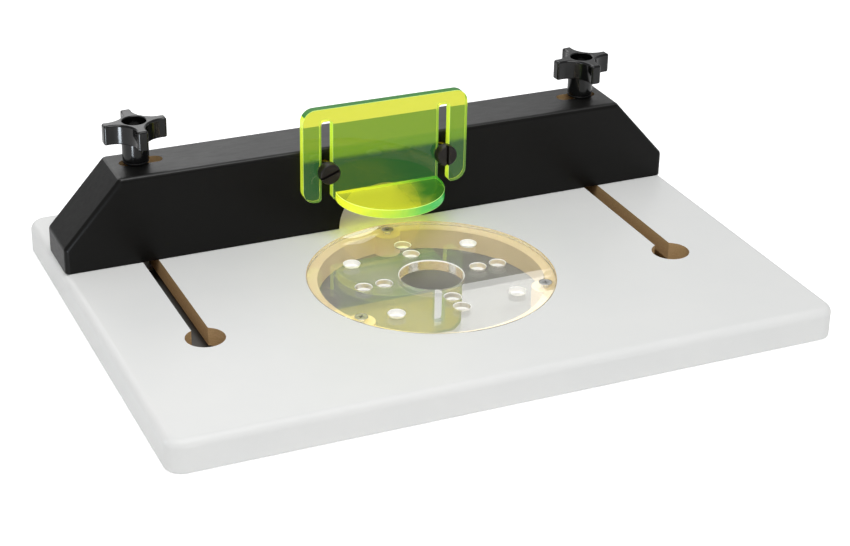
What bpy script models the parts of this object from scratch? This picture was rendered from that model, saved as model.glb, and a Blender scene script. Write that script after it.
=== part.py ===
"""Benchtop router table: a wrapped MDF board with a clear router insert, and a fence clamped in two slots.

Frame: +Z up, +X to the right along the fence, +Y towards the fence. The origin is on the underside, at the
middle of the board. All lengths are in metres.
"""

import math

import bmesh
import bpy
from mathutils import Matrix, Vector

MM = 0.001
GAP = 0.3 * MM
PAST = 5 * MM  # how far a cutter runs past the surface that it opens
ARC_STEP = math.radians(15)
SMOOTH_ANGLE = math.radians(35)

TABLE_LENGTH = 393.7 * MM
TABLE_DEPTH = 285.75 * MM
TABLE_THICKNESS = 19.05 * MM
TABLE_CORNER_RADIUS = 10 * MM
TABLE_TOP_ROUND = 5 * MM
TABLE_BOTTOM_ROUND = 1 * MM

INSERT_Y = -19.65 * MM
INSERT_RADIUS = 72.2 * MM
INSERT_THICKNESS = 6.35 * MM
OPENING_RADIUS = 66 * MM
EAR_RADIUS = 8 * MM
EAR_ANGLES = {"back": 90, "left": 210, "right": 330}
BIT_HOLE_RADIUS = 18.7 * MM
CROSS_HOLE_CIRCLES = (29.6 * MM, 42.3 * MM)
SQUARE_HOLES_X = 37.4 * MM
SQUARE_HOLES_Y = (-36.5 * MM, 30.5 * MM)
HOLE_HEAD_RADIUS = 4.75 * MM
HOLE_HEAD_DEPTH = 3 * MM
HOLE_SHANK_RADIUS = 2.4 * MM

WOOD_SCREW_HEAD_RADIUS = 3.6 * MM
WOOD_SCREW_HEAD_DEPTH = 2.6 * MM
WOOD_SCREW_SHANK_RADIUS = 1.7 * MM
WOOD_SCREW_LENGTH = 18 * MM
DRIVE_HALF_LENGTH = 2 * MM
DRIVE_HALF_WIDTH = 0.4 * MM
DRIVE_DEPTH = 1.2 * MM

BOLT_X = 144.8 * MM
BOLT_Y = 78.75 * MM
SLOT_WIDTH = 9.6 * MM
SLOT_NECK_DEPTH = 11 * MM
GROOVE_WIDTH = 21 * MM
KEYHOLE_Y = -43.75 * MM
KEYHOLE_RADIUS = 11.2 * MM
SLOT_BACK_Y = 104.45 * MM
BOLT_RADIUS = 3.97 * MM
BOLT_HEAD_RADIUS = 9.2 * MM
BOLT_HEAD_HEIGHT = 4.4 * MM
BOLT_NECK_HEIGHT = 5 * MM
BOLT_TIP_BELOW_KNOB_TOP = 7.5 * MM

FENCE_LENGTH = 390.5 * MM
FENCE_TOP_LENGTH = 321 * MM
FENCE_THICKNESS = 38.1 * MM
FENCE_HEIGHT = 54 * MM
FENCE_END_HEIGHT = 15 * MM
FENCE_FRONT_Y = 56.75 * MM
FENCE_ROUND = 3 * MM
ARCH_RADIUS = 27 * MM
FENCE_SLOT_X = 142 * MM
FENCE_SLOT_LENGTH = 26 * MM
FENCE_SLOT_WIDTH = 9 * MM

KNOB_HEIGHT = 23.8 * MM
KNOB_ARM_HEIGHT = 12 * MM
KNOB_ARM_REACH = 18.7 * MM
KNOB_ARM_HALF_WIDTH = 3.1 * MM
KNOB_ARM_CORNER = 1.4 * MM
KNOB_EDGE_ROUND = 0.7 * MM
KNOB_WAIST_RADIUS = 9.4 * MM
KNOB_STEM_RADIUS = 7.8 * MM
KNOB_RECESS_RADIUS = 6.9 * MM
KNOB_RECESS_DEPTH = 9 * MM
KNOB_BORE_RADIUS = 5.8 * MM
KNOB_TURNS = {"left": 0, "right": 4}
BUSH_RADIUS = 5.5 * MM
BUSH_BORE_RADIUS = 4.25 * MM
BUSH_LENGTH = 13.5 * MM
WASHER_RADIUS = 7.6 * MM
WASHER_THICKNESS = 1.3 * MM

GUARD_X = 0.8 * MM
GUARD_WIDTH = 105.5 * MM
GUARD_HEIGHT = 58.9 * MM
GUARD_THICKNESS = 5.6 * MM
GUARD_ABOVE_TABLE = 22.7 * MM
GUARD_CORNER_RADIUS = 8 * MM
GUARD_LEG_CORNER = 2.5 * MM
GUARD_SLOT_X = 37.65 * MM
GUARD_SLOT_WIDTH = 7.2 * MM
GUARD_SLOT_DEPTH = 50.9 * MM
GUARD_SLOT_CORNER = 1.8 * MM
SHELF_RADIUS = 33 * MM
SHELF_CENTRE_TO_BACK = 5.5 * MM

GUARD_SCREW_ABOVE_TABLE = 42.2 * MM
GUARD_SCREW_RADIUS = 3.1 * MM
GUARD_SCREW_HEAD_RADIUS = 6.4 * MM
GUARD_SCREW_HEAD_HEIGHT = 5.6 * MM
GUARD_SCREW_SLOT_WIDTH = 1.7 * MM
GUARD_SCREW_SLOT_DEPTH = 2 * MM
GUARD_SCREW_LENGTH = 18 * MM
GUARD_SCREW_TURNS = {"left": 69, "right": 0}
GUARD_INSERT_RADIUS = 4.7 * MM
GUARD_INSERT_LENGTH = 12.7 * MM
INSERT_BORE_DEPTH = 20 * MM

TABLE_TOP_Z = TABLE_THICKNESS
FENCE_BOTTOM_Z = TABLE_TOP_Z + GAP
FENCE_TOP_Z = FENCE_BOTTOM_Z + FENCE_HEIGHT
WASHER_Z = FENCE_TOP_Z + GAP
KNOB_Z = WASHER_Z + WASHER_THICKNESS + GAP
GUARD_BACK_Y = FENCE_FRONT_Y - GAP
GUARD_FRONT_Y = GUARD_BACK_Y - GUARD_THICKNESS
GUARD_Z = TABLE_TOP_Z + GUARD_ABOVE_TABLE
GUARD_SCREW_Z = TABLE_TOP_Z + GUARD_SCREW_ABOVE_TABLE
SIDES = {"left": -1, "right": 1}

PALETTE = {
    "white_foil": ((0.86, 0.86, 0.85), 0.35, 0.0),
    "clear_acrylic": ((0.92, 0.94, 0.90), 0.08, 0.0),
    "black_foil": ((0.022, 0.022, 0.024), 0.42, 0.0),
    "black_plastic": ((0.015, 0.015, 0.015), 0.38, 0.0),
    "black_nylon": ((0.018, 0.016, 0.015), 0.45, 0.0),
    "green_acrylic": ((0.62, 0.85, 0.04), 0.10, 0.0),
    "zinc_steel": ((0.62, 0.62, 0.60), 0.30, 1.0),
    "black_steel": ((0.03, 0.03, 0.03), 0.35, 0.8),
    "brass": ((0.70, 0.52, 0.24), 0.28, 1.0),
}


def clear_scene():
    for existing in list(bpy.data.objects):
        bpy.data.objects.remove(existing, do_unlink=True)


def new_collection(name, hidden=False):
    collection = bpy.data.collections.new(name)
    collection.hide_render = hidden
    bpy.context.scene.collection.children.link(collection)
    return collection


def finish_material(name):
    """The Principled material of this finish, made once."""
    if name in bpy.data.materials:
        return bpy.data.materials[name]
    colour, roughness, metallic = PALETTE[name]
    material = bpy.data.materials.new(name)
    material.use_nodes = True
    shader = material.node_tree.nodes["Principled BSDF"]
    shader.inputs["Base Color"].default_value = (*colour, 1)
    shader.inputs["Roughness"].default_value = roughness
    shader.inputs["Metallic"].default_value = metallic
    return material


def sharpen(mesh):
    mesh.shade_smooth()
    mesh.set_sharp_from_angle(angle=SMOOTH_ANGLE)


def add_node(name, mesh, finish, location=(0, 0, 0), turn=0, parent=None):
    """One named sub-part, with its own copy of its finish."""
    node = bpy.data.objects.new(name, mesh)
    parts.objects.link(node)
    mesh.name = name
    material = finish_material(finish).copy()
    material.name = f"{name}_{finish}"
    mesh.materials.clear()
    mesh.materials.append(material)
    node.location = location
    node.rotation_euler.z = math.radians(turn)
    node.parent = parent
    sharpen(mesh)
    return node


def add_empty(name, location, parent=None):
    empty = bpy.data.objects.new(name, None)
    parts.objects.link(empty)
    empty.location = location
    empty.parent = parent
    return empty


def add_cutter(name, mesh, parent=None):
    cutter = bpy.data.objects.new(name, mesh)
    cutters.objects.link(cutter)
    cutter.display_type = "WIRE"
    cutter.hide_render = True
    cutter.parent = parent
    return cutter


def boolean(target, cutter, operation="DIFFERENCE"):
    modifier = target.modifiers.new(cutter.name, "BOOLEAN")
    modifier.operation = operation
    modifier.object = cutter


def arc(centre, radius, start, end):
    """Points on an arc, with its angles in radians and both ends included."""
    steps = max(1, round(abs(end - start) / ARC_STEP))
    angles = [start + (end - start) * step / steps for step in range(steps + 1)]
    return [(centre[0] + radius * math.cos(a), centre[1] + radius * math.sin(a)) for a in angles]


def rounded_outline(corners):
    """A closed outline with each corner (x, y, radius) rounded by an arc tangent to both its sides."""
    points = []
    for index, (x, y, radius) in enumerate(corners):
        here = Vector((x, y))
        if radius == 0:
            points.append((x, y))
            continue
        before = (Vector(corners[index - 1][:2]) - here).normalized()
        after = (Vector(corners[(index + 1) % len(corners)][:2]) - here).normalized()
        half = before.angle(after) / 2
        centre = here + (before + after).normalized() * (radius / math.sin(half))
        first = here + before * (radius / math.tan(half)) - centre
        last = here + after * (radius / math.tan(half)) - centre
        start = math.atan2(first.y, first.x)
        swing = math.atan2(first.cross(last), first.dot(last))
        points += arc(centre, radius, start, start + swing)
    return points


def plate_mesh(outline, low, high):
    """A flat outline made solid between two heights, from a filled 2D curve."""
    curve = bpy.data.curves.new("outline", "CURVE")
    curve.dimensions = "2D"
    curve.fill_mode = "BOTH"
    curve.extrude = (high - low) / 2
    spline = curve.splines.new("POLY")
    spline.points.add(len(outline) - 1)
    for point, (x, y) in zip(spline.points, outline):
        point.co = (x, y, 0, 1)
    spline.use_cyclic_u = True
    holder = bpy.data.objects.new("outline", curve)
    parts.objects.link(holder)
    bpy.context.view_layer.update()
    mesh = bpy.data.meshes.new_from_object(holder.evaluated_get(bpy.context.evaluated_depsgraph_get()))
    bpy.data.objects.remove(holder)
    bpy.data.curves.remove(curve)
    shape = bmesh.new()
    shape.from_mesh(mesh)
    bmesh.ops.remove_doubles(shape, verts=shape.verts, dist=0.001 * MM)
    bmesh.ops.dissolve_limit(shape, angle_limit=math.radians(1), verts=shape.verts, edges=shape.edges)
    bmesh.ops.translate(shape, verts=shape.verts, vec=(0, 0, (low + high) / 2))
    bmesh.ops.recalc_face_normals(shape, faces=shape.faces)
    shape.to_mesh(mesh)
    shape.free()
    return mesh


def round_edges(mesh, chosen, width, segments):
    """Rounds the edges that chosen(edge) picks."""
    shape = bmesh.new()
    shape.from_mesh(mesh)
    edges = [edge for edge in shape.edges if edge.calc_face_angle() > SMOOTH_ANGLE and chosen(edge)]
    bmesh.ops.bevel(shape, geom=edges, offset=width, segments=segments, profile=0.5, affect="EDGES")
    shape.to_mesh(mesh)
    shape.free()


def turn_mesh(mesh, matrix):
    mesh.transform(matrix)
    return mesh


def cylinder_mesh(radius, low, high, centre=(0, 0), sides=32, top_radius=None):
    """An upright cylinder or, with a top radius, a cone."""
    shape = bmesh.new()
    middle = Matrix.Translation((centre[0], centre[1], (low + high) / 2))
    bmesh.ops.create_cone(
        shape,
        cap_ends=True,
        segments=sides,
        radius1=radius,
        radius2=radius if top_radius is None else top_radius,
        depth=high - low,
        matrix=middle,
    )
    mesh = bpy.data.meshes.new("cylinder")
    shape.to_mesh(mesh)
    shape.free()
    return mesh


def box_mesh(low, high):
    shape = bmesh.new()
    low = Vector(low)
    high = Vector(high)
    size = Matrix.Diagonal((*(high - low), 1))
    bmesh.ops.create_cube(shape, size=1, matrix=Matrix.Translation((low + high) / 2) @ size)
    mesh = bpy.data.meshes.new("box")
    shape.to_mesh(mesh)
    shape.free()
    return mesh


def stadium(centre, half_length, half_width, along_y=False):
    """A slot outline with round ends, its half length measured to the middles of the ends."""
    points = arc((half_length, 0), half_width, -math.pi / 2, math.pi / 2)
    points += arc((-half_length, 0), half_width, math.pi / 2, 3 * math.pi / 2)
    if along_y:
        points = [(-y, x) for x, y in points]
    return [(centre[0] + x, centre[1] + y) for x, y in points]


def turned_mesh(profile, sides, closed_ring=False):
    """A profile of (radius, height) points, running down the outer side, turned about Z."""
    mesh = bpy.data.meshes.new("profile")
    shape = bmesh.new()
    path = [shape.verts.new((radius, 0, height)) for radius, height in profile]
    if closed_ring:
        path.append(path[0])
    for start, end in zip(path, path[1:]):
        shape.edges.new((start, end))
    shape.to_mesh(mesh)
    shape.free()
    holder = bpy.data.objects.new("profile", mesh)
    parts.objects.link(holder)
    screw = holder.modifiers.new("turn", "SCREW")
    screw.steps = sides
    screw.render_steps = sides
    screw.use_merge_vertices = True
    screw.merge_threshold = 0.00001
    bpy.context.view_layer.update()
    turned = bpy.data.meshes.new_from_object(holder.evaluated_get(bpy.context.evaluated_depsgraph_get()))
    bpy.data.objects.remove(holder)
    bpy.data.meshes.remove(mesh)
    return turned


def polar(radius, degrees):
    return radius * math.cos(math.radians(degrees)), radius * math.sin(math.radians(degrees))


def ear_centre(angle):
    x, y = polar(OPENING_RADIUS, angle)
    return x, y + INSERT_Y


def build_table_top():
    half_length = TABLE_LENGTH / 2
    half_depth = TABLE_DEPTH / 2
    signs = ((-1, -1), (1, -1), (1, 1), (-1, 1))
    corners = [(x * half_length, y * half_depth, TABLE_CORNER_RADIUS) for x, y in signs]
    mesh = plate_mesh(rounded_outline(corners), 0, TABLE_THICKNESS)
    middle = TABLE_THICKNESS / 2
    round_edges(mesh, lambda edge: min(v.co.z for v in edge.verts) > middle, TABLE_TOP_ROUND, 3)
    round_edges(mesh, lambda edge: max(v.co.z for v in edge.verts) < 0.5 * MM, TABLE_BOTTOM_ROUND, 1)
    table = add_node("table_top", mesh, "white_foil")

    ledge_z = TABLE_THICKNESS - INSERT_THICKNESS - GAP
    rabbet = cylinder_mesh(INSERT_RADIUS + GAP, ledge_z, TABLE_THICKNESS + PAST, (0, INSERT_Y), 64)
    opening = cylinder_mesh(OPENING_RADIUS, -PAST, ledge_z + 1 * MM, (0, INSERT_Y), 64)
    opening_cutter = add_cutter("cut_opening", opening)
    for place, angle in EAR_ANGLES.items():
        ear = cylinder_mesh(EAR_RADIUS, -2 * PAST, ledge_z + PAST, ear_centre(angle), 24)
        boolean(opening_cutter, add_cutter(f"keep_ear_{place}", ear))
    boolean(table, opening_cutter)
    boolean(table, add_cutter("cut_rabbet", rabbet))
    for place, angle in EAR_ANGLES.items():
        pilot = cylinder_mesh(WOOD_SCREW_SHANK_RADIUS + GAP, -PAST, ledge_z + PAST, ear_centre(angle), 12)
        boolean(table, add_cutter(f"cut_pilot_{place}", pilot))

    neck_z = TABLE_THICKNESS - SLOT_NECK_DEPTH
    slot_centre_y = (KEYHOLE_Y + SLOT_BACK_Y) / 2
    slot_half = (SLOT_BACK_Y - KEYHOLE_Y) / 2
    for side, sign in SIDES.items():
        centre = (sign * BOLT_X, slot_centre_y)
        neck_outline = stadium(centre, slot_half, SLOT_WIDTH / 2, along_y=True)
        neck = plate_mesh(neck_outline, -PAST, TABLE_THICKNESS + PAST)
        groove = plate_mesh(stadium(centre, slot_half, GROOVE_WIDTH / 2, along_y=True), -2 * PAST, neck_z)
        keyhole_centre = (sign * BOLT_X, KEYHOLE_Y)
        keyhole = cylinder_mesh(KEYHOLE_RADIUS, -3 * PAST, TABLE_THICKNESS + 2 * PAST, keyhole_centre, 32)
        boolean(table, add_cutter(f"cut_groove_{side}", groove))
        boolean(table, add_cutter(f"cut_neck_{side}", neck))
        boolean(table, add_cutter(f"cut_keyhole_{side}", keyhole))


def build_insert_plate():
    """The router's mounting holes are two circles of four on the axes, and a square set."""
    bottom = TABLE_TOP_Z - INSERT_THICKNESS
    top = TABLE_TOP_Z
    below = bottom - 1 * MM
    above = top + 1 * MM
    plate = add_node(
        "insert_plate",
        cylinder_mesh(INSERT_RADIUS, bottom, top, (0, INSERT_Y), 64),
        "clear_acrylic",
    )
    bit_hole = cylinder_mesh(BIT_HOLE_RADIUS, below, above, (0, INSERT_Y), 40)
    boolean(plate, add_cutter("cut_bit_hole", bit_hole))
    places = [polar(radius, 90 * turn) for radius in CROSS_HOLE_CIRCLES for turn in range(4)]
    places += [(sign * SQUARE_HOLES_X, y) for sign in (-1, 1) for y in SQUARE_HOLES_Y]
    floor = top - HOLE_HEAD_DEPTH
    profile = [(0, above), (HOLE_HEAD_RADIUS, above), (HOLE_HEAD_RADIUS, floor)]
    profile += [(HOLE_SHANK_RADIUS, floor), (HOLE_SHANK_RADIUS, below), (0, below)]
    for index, (x, y) in enumerate(places):
        cutter = add_cutter(f"cut_counterbore_{index}", turned_mesh(profile, 16))
        cutter.location = (x, y + INSERT_Y, 0)
        boolean(plate, cutter)
    for place, angle in EAR_ANGLES.items():
        head = WOOD_SCREW_HEAD_RADIUS + GAP
        shank = WOOD_SCREW_SHANK_RADIUS + GAP
        profile = [(0, above), (head, above), (head, top - GAP), (shank, top - WOOD_SCREW_HEAD_DEPTH - GAP)]
        profile += [(shank, below), (0, below)]
        cutter = add_cutter(f"cut_screw_seat_{place}", turned_mesh(profile, 16))
        cutter.location = (*ear_centre(angle), 0)
        boolean(plate, cutter)


def build_insert_screws():
    top = -0.1 * MM
    taper_end = top - WOOD_SCREW_HEAD_DEPTH
    tip = -WOOD_SCREW_LENGTH
    point = tip + 2 * MM
    profile = [(0, top), (WOOD_SCREW_HEAD_RADIUS, top), (WOOD_SCREW_SHANK_RADIUS, taper_end)]
    profile += [(WOOD_SCREW_SHANK_RADIUS, point), (0, tip)]
    for place, angle in EAR_ANGLES.items():
        mesh = turned_mesh(profile, 16)
        screw = add_node(f"insert_screw_{place}", mesh, "zinc_steel", (*ear_centre(angle), TABLE_TOP_Z))
        wide = (DRIVE_HALF_LENGTH, DRIVE_HALF_WIDTH)
        for number, (x, y) in enumerate((wide, wide[::-1])):
            drive = box_mesh((-x, -y, -DRIVE_DEPTH - number * 0.1 * MM), (x, y, DRIVE_DEPTH))
            boolean(screw, add_cutter(f"cut_drive_{place}_{number}", drive, screw))


def build_fence_body(carriage):
    half = FENCE_LENGTH / 2
    half_top = FENCE_TOP_LENGTH / 2
    outline = [(-half, 0), (half, 0), (half, FENCE_END_HEIGHT)]
    outline += [(half_top, FENCE_HEIGHT), (-half_top, FENCE_HEIGHT), (-half, FENCE_END_HEIGHT)]
    upright = Matrix.Translation((0, FENCE_FRONT_Y + FENCE_THICKNESS, FENCE_BOTTOM_Z)) @ Matrix.Rotation(
        math.pi / 2, 4, "X"
    )
    mesh = turn_mesh(plate_mesh(outline, 0, FENCE_THICKNESS), upright)
    floor = FENCE_BOTTOM_Z + 0.01 * MM
    round_edges(mesh, lambda edge: max(v.co.z for v in edge.verts) > floor, FENCE_ROUND, 2)
    mesh.transform(Matrix.Translation((0, -BOLT_Y, 0)))
    fence = add_node("fence_body", mesh, "black_foil", (0, 0, 0), parent=carriage)

    front = FENCE_FRONT_Y - BOLT_Y
    back = front + FENCE_THICKNESS
    lay = Matrix.Rotation(-math.pi / 2, 4, "X")
    arch = turn_mesh(cylinder_mesh(ARCH_RADIUS, front - PAST, back + PAST, (0, 0), 48), lay)
    arch.transform(Matrix.Translation((0, 0, FENCE_BOTTOM_Z)))
    boolean(fence, add_cutter("cut_arch", arch, carriage))
    slot_half = (FENCE_SLOT_LENGTH - FENCE_SLOT_WIDTH) / 2
    for side, sign in SIDES.items():
        outline = stadium((sign * FENCE_SLOT_X, 0), slot_half, FENCE_SLOT_WIDTH / 2)
        slot = plate_mesh(outline, FENCE_BOTTOM_Z - PAST, FENCE_TOP_Z + PAST)
        boolean(fence, add_cutter(f"cut_fence_slot_{side}", slot, carriage))
        bore = cylinder_mesh(GUARD_INSERT_RADIUS + GAP, front - PAST, front + INSERT_BORE_DEPTH, (0, 0), 20)
        turn_mesh(bore, lay)
        bore.transform(Matrix.Translation((GUARD_X + sign * GUARD_SLOT_X, 0, GUARD_SCREW_Z)))
        boolean(fence, add_cutter(f"cut_insert_bore_{side}", bore, carriage))
    return fence


def build_fence_bolts(carriage):
    """Carriage bolts: their heads hang in the groove and their square necks stop them turning."""
    rim = TABLE_THICKNESS - SLOT_NECK_DEPTH - GAP
    tip = KNOB_Z + KNOB_HEIGHT - BOLT_TIP_BELOW_KNOB_TOP
    chamfer = 0.8 * MM
    dome_steps = 4
    dome = []
    for step in range(dome_steps + 1):
        angle = math.pi / 2 * step / dome_steps
        height = rim - 1.2 * MM - (BOLT_HEAD_HEIGHT - 1.2 * MM) * math.sin(angle)
        dome.append((BOLT_HEAD_RADIUS * math.cos(angle) if step < dome_steps else 0, height))
    profile = [(0, tip), (BOLT_RADIUS - chamfer, tip), (BOLT_RADIUS, tip - chamfer)]
    profile += [(BOLT_RADIUS, rim), (BOLT_HEAD_RADIUS, rim)] + dome
    half = BOLT_RADIUS
    for side, sign in SIDES.items():
        bolt = add_node(
            f"fence_bolt_{side}",
            turned_mesh(profile, 24),
            "zinc_steel",
            (sign * BOLT_X, 0, 0),
            parent=carriage,
        )
        neck = box_mesh((-half, -half, rim - 0.5 * MM), (half, half, rim + BOLT_NECK_HEIGHT))
        boolean(bolt, add_cutter(f"add_square_neck_{side}", neck, bolt), "UNION")


def knob_outline():
    """Four arms with squared tips, joined by round scallops."""
    corner = KNOB_ARM_CORNER
    shoulder = KNOB_ARM_REACH - corner
    middle_y = KNOB_ARM_HALF_WIDTH - corner
    waist = KNOB_WAIST_RADIUS - corner
    diagonal = math.sqrt(0.5)
    # The scallop's circle has its middle on the diagonal at `away`. It passes the waist there and touches
    # the round of each arm's corner, which gives a linear equation in `away`.
    away = (shoulder**2 + middle_y**2 - waist**2) / (2 * (diagonal * (shoulder + middle_y) - waist))
    middle = Vector((away * diagonal, away * diagonal))
    radius = away - KNOB_WAIST_RADIUS
    toward = middle - Vector((shoulder, middle_y))
    meet = math.atan2(toward.y, toward.x)
    swing = 2 * (math.atan2(-toward.y, -toward.x) + 0.75 * math.pi)
    arm = arc((shoulder, -middle_y), corner, -meet, 0)
    arm += arc((shoulder, middle_y), corner, 0, meet)
    arm += arc(middle, radius, meet - math.pi, meet - math.pi - swing)[1:-1]
    points = []
    for quarter in range(4):
        turn = Matrix.Rotation(quarter * math.pi / 2, 2)
        points += [tuple(turn @ Vector(point)) for point in arm]
    return points


def build_knob(side, sign, carriage):
    axis = add_empty(f"knob_axis_{side}", (sign * BOLT_X, 0, 0), carriage)
    washer = [(WASHER_RADIUS, WASHER_THICKNESS), (WASHER_RADIUS, 0), (BUSH_BORE_RADIUS, 0)]
    washer.append((BUSH_BORE_RADIUS, WASHER_THICKNESS))
    washer_mesh = turned_mesh(washer, 32, True)
    add_node(f"knob_washer_{side}", washer_mesh, "black_steel", (0, 0, WASHER_Z), parent=axis)

    mesh = plate_mesh(knob_outline(), KNOB_HEIGHT - KNOB_ARM_HEIGHT, KNOB_HEIGHT)
    level = lambda edge: abs(edge.verts[0].co.z - edge.verts[1].co.z) < 0.01 * MM
    round_edges(mesh, level, KNOB_EDGE_ROUND, 1)
    knob = add_node(f"knob_{side}", mesh, "black_plastic", (0, 0, KNOB_Z), KNOB_TURNS[side], axis)
    stem = cylinder_mesh(KNOB_STEM_RADIUS, 0, KNOB_HEIGHT - KNOB_ARM_HEIGHT + 3 * MM)
    boolean(knob, add_cutter(f"add_stem_{side}", stem, knob), "UNION")
    above = KNOB_HEIGHT + 2 * MM
    floor = KNOB_HEIGHT - KNOB_RECESS_DEPTH
    bore = [(0, above), (KNOB_RECESS_RADIUS, above), (KNOB_RECESS_RADIUS, floor), (KNOB_BORE_RADIUS, floor)]
    bore += [(KNOB_BORE_RADIUS, -2 * MM), (0, -2 * MM)]
    boolean(knob, add_cutter(f"cut_bore_{side}", turned_mesh(bore, 24), knob))
    bush = [(BUSH_RADIUS, BUSH_LENGTH), (BUSH_RADIUS, 0)]
    bush += [(BUSH_BORE_RADIUS, 0), (BUSH_BORE_RADIUS, BUSH_LENGTH)]
    place = (0, 0, KNOB_Z + 0.5 * MM)
    add_node(f"knob_insert_{side}", turned_mesh(bush, 24, True), "brass", place, parent=axis)


def build_guard(fence):
    """The guard's parent sits at the fence screws' height, so it slides from there."""
    lift = add_empty("guard_lift", (GUARD_X, GUARD_FRONT_Y - BOLT_Y, GUARD_Z), fence)
    half = GUARD_WIDTH / 2
    inner = GUARD_SLOT_X - GUARD_SLOT_WIDTH / 2
    outer = GUARD_SLOT_X + GUARD_SLOT_WIDTH / 2
    lower = GUARD_LEG_CORNER
    right_leg = [
        (inner, 0, lower),
        (inner, GUARD_SLOT_DEPTH, GUARD_SLOT_CORNER),
        (outer, GUARD_SLOT_DEPTH, GUARD_SLOT_CORNER),
        (outer, 0, lower),
        (half, 0, GUARD_CORNER_RADIUS),
        (half, GUARD_HEIGHT, GUARD_CORNER_RADIUS),
    ]
    left_leg = [(-x, y, radius) for x, y, radius in reversed(right_leg)]
    outline = rounded_outline(left_leg + right_leg)
    stand = Matrix.Translation((0, GUARD_THICKNESS, 0)) @ Matrix.Rotation(math.pi / 2, 4, "X")
    plate = turn_mesh(plate_mesh(outline, 0, GUARD_THICKNESS), stand)
    add_node("guard_plate", plate, "green_acrylic", parent=lift)

    past_half = math.asin(SHELF_CENTRE_TO_BACK / SHELF_RADIUS)
    middle = (0, -GAP - SHELF_CENTRE_TO_BACK)
    shelf_outline = arc(middle, SHELF_RADIUS, math.pi - past_half, math.tau + past_half)
    shelf = plate_mesh(shelf_outline, 0, GUARD_THICKNESS)
    add_node("guard_shelf", shelf, "green_acrylic", parent=lift)


def build_guard_screw(side, sign, fence):
    """The screw's axis lies along Y, its head in front of the guard and its shank in the fence's insert."""
    front = GUARD_FRONT_Y - GAP - BOLT_Y
    x = GUARD_X + sign * GUARD_SLOT_X
    screw_axis = add_empty(f"guard_screw_axis_{side}", (x, front, GUARD_SCREW_Z), fence)
    head = GUARD_SCREW_HEAD_HEIGHT
    bevel = 0.7 * MM
    tip = -GUARD_SCREW_LENGTH
    radius = GUARD_SCREW_HEAD_RADIUS
    profile = [(0, head), (radius - bevel, head), (radius, head - bevel), (radius, 0)]
    profile += [(GUARD_SCREW_RADIUS, 0), (GUARD_SCREW_RADIUS, tip), (0, tip)]
    lay = Matrix.Rotation(math.pi / 2, 4, "X")
    screw_mesh = turn_mesh(turned_mesh(profile, 24), lay)
    screw = add_node(f"guard_screw_{side}", screw_mesh, "black_nylon", parent=screw_axis)
    half = GUARD_SCREW_SLOT_WIDTH / 2
    slot = box_mesh(
        (-half, -head - 1 * MM, -radius - 1 * MM), (half, GUARD_SCREW_SLOT_DEPTH - head, radius + 1 * MM)
    )
    slot.transform(Matrix.Rotation(math.radians(GUARD_SCREW_TURNS[side]), 4, "Y"))
    boolean(screw, add_cutter(f"cut_driver_slot_{side}", slot, screw))

    inner = GUARD_SCREW_RADIUS + GAP
    outer = GUARD_INSERT_RADIUS
    ring = [(outer, 0), (outer, -GUARD_INSERT_LENGTH), (inner, -GUARD_INSERT_LENGTH), (inner, 0)]
    place = (x, FENCE_FRONT_Y - BOLT_Y + 0.2 * MM, GUARD_SCREW_Z)
    sleeve_mesh = turn_mesh(turned_mesh(ring, 24, True), lay)
    add_node(f"guard_insert_{side}", sleeve_mesh, "brass", place, parent=fence)


def build():
    build_table_top()
    build_insert_plate()
    build_insert_screws()
    carriage = add_empty("fence_carriage", (0, BOLT_Y, 0))
    fence = build_fence_body(carriage)
    build_fence_bolts(carriage)
    for side, sign in SIDES.items():
        build_knob(side, sign, carriage)
    build_guard(fence)
    for side, sign in SIDES.items():
        build_guard_screw(side, sign, fence)


clear_scene()
parts = new_collection("router_table")
cutters = new_collection("cutters", hidden=True)
build()
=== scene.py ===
"""Looks of a benchtop router table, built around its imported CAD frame.

Every piece is made in the frame's own metres: +Z up, +X to the right along the fence, +Y towards the fence.
"""

import math

import bmesh
import bpy
from mathutils import Matrix, Vector


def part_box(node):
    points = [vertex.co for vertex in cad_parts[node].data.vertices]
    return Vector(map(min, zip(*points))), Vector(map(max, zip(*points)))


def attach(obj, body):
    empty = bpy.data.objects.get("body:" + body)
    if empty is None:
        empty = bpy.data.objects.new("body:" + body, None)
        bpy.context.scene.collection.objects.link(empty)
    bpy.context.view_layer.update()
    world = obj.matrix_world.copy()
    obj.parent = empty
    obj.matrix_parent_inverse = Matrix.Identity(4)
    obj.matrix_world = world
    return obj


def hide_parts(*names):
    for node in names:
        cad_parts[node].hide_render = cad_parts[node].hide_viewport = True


MM = 0.001
HAIR = 0.001 * MM
ARC_STEP = math.radians(5)
SHARP_ANGLE = math.radians(28)
SIDES = {"left": -1, "right": 1}
QUADRANTS = ((-1, -1), (1, -1), (1, 1), (-1, 1))

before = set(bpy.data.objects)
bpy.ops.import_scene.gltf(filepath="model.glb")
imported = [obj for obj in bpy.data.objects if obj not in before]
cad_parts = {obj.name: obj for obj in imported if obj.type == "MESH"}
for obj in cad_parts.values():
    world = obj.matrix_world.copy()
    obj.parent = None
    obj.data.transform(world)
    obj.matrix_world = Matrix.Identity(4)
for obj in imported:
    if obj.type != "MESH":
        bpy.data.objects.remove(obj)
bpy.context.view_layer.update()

BOARD_LOW, BOARD_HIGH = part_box("table_top")
PLATE_LOW, PLATE_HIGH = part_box("insert_plate")
FENCE_LOW, FENCE_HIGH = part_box("fence_body")
GUARD_LOW, GUARD_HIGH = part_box("guard_plate")
SHELF_LOW, SHELF_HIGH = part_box("guard_shelf")

FINE_SIDES = 160

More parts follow.
